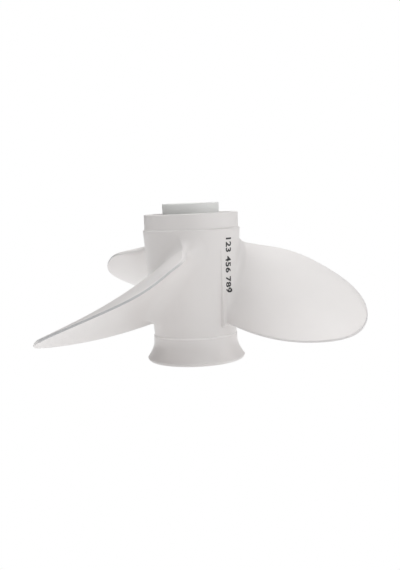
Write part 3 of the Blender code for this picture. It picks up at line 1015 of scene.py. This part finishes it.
def cast_paint_group():
    """The skin of the paint: one noise for colour, roughness and waves, and a finer one for the peel."""
    ranges = (("Peel Scale", 5000.0), ("Wave Scale", 500.0), ("Base Roughness", 1.0))
    group, entry, result = skin_group("cast_paint", ranges, ("Light Colour", "Deep Colour"))
    place = group.nodes.new("ShaderNodeTexCoord").outputs["Object"]
    peel = add_texture(group, "ShaderNodeTexNoise", place, entry.outputs["Peel Scale"])
    peel.inputs["Detail"].default_value = 2.0
    wave = add_texture(group, "ShaderNodeTexNoise", place, entry.outputs["Wave Scale"])
    wave.inputs["Detail"].default_value = 3.0
    share = wave.outputs["Fac"]
    mix = mix_colours(group, share, entry.outputs["Deep Colour"], entry.outputs["Light Colour"])
    roughness = scale_and_add(group, share, DULL_SPREAD, entry.outputs["Base Roughness"])
    height = scale_and_add(group, share, WAVE_HEIGHT, peel.outputs["Fac"])
    give_out(group, result, mix.outputs[MIX_RESULT], roughness, height)
    return group


PAINT_GROUP = cast_paint_group()


def paint_material(name, light, deep, roughness, peel=900.0, wave=60.0, bump_mm=0.012, coat=0.3, rim=None):
    material, shader = new_material(name, light, roughness)
    values = {"Peel Scale": peel, "Wave Scale": wave, "Base Roughness": roughness}
    values["Light Colour"] = (*light, 1.0)
    values["Deep Colour"] = (*deep, 1.0)
    skin = dress(material, shader, PAINT_GROUP, values, PAINT_BUMP, bump_mm)
    # A darker grey on the ground rims is painted shade, mixed over the paint by the rim attribute
    if rim:
        tree = material.node_tree
        ground = tree.nodes.new("ShaderNodeAttribute")
        ground.attribute_name = "rim"
        rim_shade = mix_colours(tree, ground.outputs["Fac"], skin.outputs["Colour"])
        rim_shade.inputs[MIX_SECOND].default_value = (*rim, 1.0)
        tree.links.new(rim_shade.outputs[MIX_RESULT], shader.inputs["Base Color"])
    shader.inputs["Coat Weight"].default_value = coat
    shader.inputs["Coat Roughness"].default_value = 0.3
    return material


# %% Painted pieces
PAINT_ROUGHNESS, LIP_ROUGHNESS = 0.34, 0.3
LIGHT_WHITE, DEEP_WHITE = (0.845, 0.818, 0.806), (0.815, 0.788, 0.776)
# A lighter white on the ring's lip is a painted highlight, which draws the fine light line at the seam
LIGHT_LIP_HIGHLIGHT, DEEP_LIP_HIGHLIGHT = (0.97, 0.95, 0.94), (0.95, 0.93, 0.92)
# The inner barrel's own greyer, slightly greenish white, made lighter still as painted light that makes up
# for the shade of the collar round it
LIGHT_HUB_PAINTED_LIGHT, DEEP_HUB_PAINTED_LIGHT = (0.93, 0.935, 0.92), (0.9, 0.905, 0.89)
# A darker grey painted on the blades' rims as shade
RIM_SHADE_GREY = (0.58, 0.58, 0.59)
LIP_HIGHLIGHT_LOW = SEAM_Z - 0.4

casting_paint = paint_material("casting_paint", LIGHT_WHITE, DEEP_WHITE, PAINT_ROUGHNESS, rim=RIM_SHADE_GREY)
assign(casting, casting_paint)
assign(diffuser, paint_material("ring_paint", LIGHT_WHITE, DEEP_WHITE, PAINT_ROUGHNESS))
# The ring's faces above this height get the second material, the painted highlight
diffuser.data.materials.append(paint_material("lip_painted_highlight", LIGHT_LIP_HIGHLIGHT, DEEP_LIP_HIGHLIGHT, LIP_ROUGHNESS))
for face in diffuser.data.polygons:
    if face.center.z > LIP_HIGHLIGHT_LOW * MM:
        face.material_index = 1
assign(inner, paint_material("hub_paint_with_painted_light", LIGHT_HUB_PAINTED_LIGHT, DEEP_HUB_PAINTED_LIGHT, PAINT_ROUGHNESS))
print("Painted:", casting.name, diffuser.name, inner.name)

# %% [markdown]
# ## Rubber, ink and bronze
# The rubber is nearly black and mat, with a fine mould grain and a lighter bloom in patches. The ink is thin
# and a little uneven. Both use the same group as the paint, with other colours and scales and no clear coat.
# The sleeve is turned and broached from bronze: a ring wave round the shaft gives its fine turning marks, and
# noise gives darker, duller patches where oil has stained it.

# %% Rubber and ink
RUBBER_BLOOM, RUBBER_BLACK = (0.05, 0.05, 0.052), (0.018, 0.018, 0.018)
INK_THIN, INK_THICK = (0.035, 0.034, 0.036), (0.012, 0.012, 0.013)

rubber = paint_material(
    "moulded_rubber", RUBBER_BLOOM, RUBBER_BLACK, 0.62, peel=2600.0, wave=240.0, bump_mm=0.05, coat=0.0
)
ink = paint_material("black_ink", INK_THIN, INK_THICK, 0.42, peel=3000.0, wave=700.0, bump_mm=0.01, coat=0.0)
assign(bush, rubber)
assign(numbers, ink)

# %% Bronze
STAIN_SPREAD = 0.25
BRONZE_BUMP, BRONZE_BUMP_MM = 0.4, 0.02
CLEAN_BRONZE, STAINED_BRONZE = (0.66, 0.5, 0.27), (0.42, 0.3, 0.15)


def turned_metal_group():
    """Turned metal: a ring wave for the marks, and noise for the stains."""
    ranges = (("Mark Scale", 9000.0), ("Stain Scale", 900.0), ("Base Roughness", 1.0))
    group, entry, result = skin_group("turned_metal", ranges, ("Clean Colour", "Stained Colour"))
    place = group.nodes.new("ShaderNodeTexCoord").outputs["Object"]
    marks = add_texture(group, "ShaderNodeTexWave", place, entry.outputs["Mark Scale"])
    marks.wave_type = "RINGS"
    marks.rings_direction = "Z"
    marks.inputs["Distortion"].default_value = 0.6
    stain = add_texture(group, "ShaderNodeTexNoise", place, entry.outputs["Stain Scale"])
    stain.inputs["Detail"].default_value = 4.0
    share = stain.outputs["Fac"]
    mix = mix_colours(group, share, entry.outputs["Clean Colour"], entry.outputs["Stained Colour"])
    roughness = scale_and_add(group, share, STAIN_SPREAD, entry.outputs["Base Roughness"])
    give_out(group, result, mix.outputs[MIX_RESULT], roughness, marks.outputs["Fac"])
    return group


bronze, bronze_shader = new_material("machined_bronze", CLEAN_BRONZE, 0.3, 1.0)
bronze_values = {"Mark Scale": 900.0, "Stain Scale": 160.0, "Base Roughness": 0.2}
bronze_values["Clean Colour"] = (*CLEAN_BRONZE, 1.0)
bronze_values["Stained Colour"] = (*STAINED_BRONZE, 1.0)
dress(bronze, bronze_shader, turned_metal_group(), bronze_values, BRONZE_BUMP, BRONZE_BUMP_MM)
assign(sleeve, bronze)
print("Materials:", sorted(material.name for material in (casting_paint, rubber, ink, bronze)))

# %% [markdown]
# ## Floor and sky
# The photograph shows the propeller cut out on plain white, without a shadow. The camera therefore sees a
# floor and a sky of pure white. To the metal the floor is a pale grey sheet that glows a little, which lights
# the undersides of the blades, and the sky is nearly dark, so that the soft lamps alone shape the paint.
# The Light Path node tells the two apart. From below the floor is clear, so that the underside can be seen.

# %% Floor
scene = bpy.context.scene
scene.view_settings.view_transform = "Standard"
FLOOR_GLOW = 0.4
FLOOR_SIDES, FLOOR_RADIUS_M = 96, 4.0

bpy.ops.mesh.primitive_circle_add(vertices=FLOOR_SIDES, radius=FLOOR_RADIUS_M, fill_type="NGON")
floor = bpy.context.object
floor.name = "floor"
floor_material, floor_shader = new_material("floor_white", (0.6, 0.6, 0.6), 0.9)
floor_shader.inputs["Emission Color"].default_value = (1.0, 1.0, 1.0, 1.0)
floor_shader.inputs["Emission Strength"].default_value = FLOOR_GLOW
floor_nodes, floor_links = floor_material.node_tree.nodes, floor_material.node_tree.links
floor_white = floor_nodes.new("ShaderNodeEmission")
floor_ray = floor_nodes.new("ShaderNodeLightPath")
floor_mix = floor_nodes.new("ShaderNodeMixShader")
floor_links.new(floor_ray.outputs["Is Camera Ray"], floor_mix.inputs["Fac"])
floor_links.new(floor_shader.outputs["BSDF"], floor_mix.inputs[1])
floor_links.new(floor_white.outputs["Emission"], floor_mix.inputs[2])
floor_side = floor_nodes.new("ShaderNodeNewGeometry")
floor_clear = floor_nodes.new("ShaderNodeBsdfTransparent")
floor_last = floor_nodes.new("ShaderNodeMixShader")
floor_links.new(floor_side.outputs["Backfacing"], floor_last.inputs["Fac"])
floor_links.new(floor_mix.outputs["Shader"], floor_last.inputs[1])
floor_links.new(floor_clear.outputs["BSDF"], floor_last.inputs[2])
floor_links.new(floor_last.outputs["Shader"], floor_nodes["Material Output"].inputs["Surface"])
assign(floor, floor_material)

# %% Sky
SKY_LIGHT = 0.02
world = bpy.data.worlds.new("studio")
scene.world = world
world.use_nodes = True
sky_nodes, sky_links = world.node_tree.nodes, world.node_tree.links
sky = sky_nodes["Background"]
sky.inputs["Color"].default_value = (1.0, 1.0, 1.0, 1.0)
sky.inputs["Strength"].default_value = SKY_LIGHT
backdrop = sky_nodes.new("ShaderNodeBackground")
backdrop.inputs["Color"].default_value = (1.0, 1.0, 1.0, 1.0)
sky_ray = sky_nodes.new("ShaderNodeLightPath")
sky_mix = sky_nodes.new("ShaderNodeMixShader")
sky_links.new(sky_ray.outputs["Is Camera Ray"], sky_mix.inputs["Fac"])
sky_links.new(sky.outputs["Background"], sky_mix.inputs[1])
sky_links.new(backdrop.outputs["Background"], sky_mix.inputs[2])
sky_links.new(sky_mix.outputs["Shader"], sky_nodes["World Output"].inputs["Surface"])

# %% [markdown]
# ## Soft lamps
# The light of a white tent comes from all sides, but not evenly. A ring of wide soft lamps a metre and a half
# away gives this. Low ones at the right light the blades from the side, high ones at the left and the back
# light their upper faces, and the high front left stays weak, so that the hub is darker on that side.

# %% Lamps
LAMP_DISTANCE_M = 1.5
LAMP_SIZE_M = 1.2
AIM = Vector((0.0, 0.0, 0.06))

# Each lamp's name, its azimuth and elevation in degrees, and its power in watts
LAMPS = (
    ("key_front_right", 300.0, 58.0, 4.2),
    ("low_front_right", 315.0, 8.0, 4.3),
    ("top", 0.0, 88.0, 3.4),
    ("high_right", 60.0, 58.0, 3.4),
    ("high_back", 120.0, 58.0, 5.8),
    ("high_left", 180.0, 58.0, 4.9),
    ("high_front_left", 240.0, 58.0, 1.0),
    ("low_right", 0.0, 8.0, 5.3),
    ("low_right_back", 45.0, 8.0, 2.0),
    ("front_left", 225.0, 32.0, 2.9),
    ("back", 90.0, 32.0, 2.4),
    ("low_back", 90.0, 8.0, 1.6),
)


def soft_lamp(name, azimuth_deg, elevation_deg, power):
    """Add a round soft lamp that looks at the hub."""
    turn, rise = math.radians(azimuth_deg), math.radians(elevation_deg)
    way = Vector((math.cos(rise) * math.cos(turn), math.cos(rise) * math.sin(turn), math.sin(rise)))
    data = bpy.data.lights.new(name, "AREA")
    data.shape = "DISK"
    data.size = LAMP_SIZE_M
    data.energy = power
    lamp = bpy.data.objects.new(name, data)
    scene.collection.objects.link(lamp)
    lamp.location = AIM + way * LAMP_DISTANCE_M
    lamp.rotation_euler = (-way).to_track_quat("-Z", "Y").to_euler()


for lamp_values in LAMPS:
    soft_lamp(*lamp_values)
print("Lamps:", len(LAMPS))
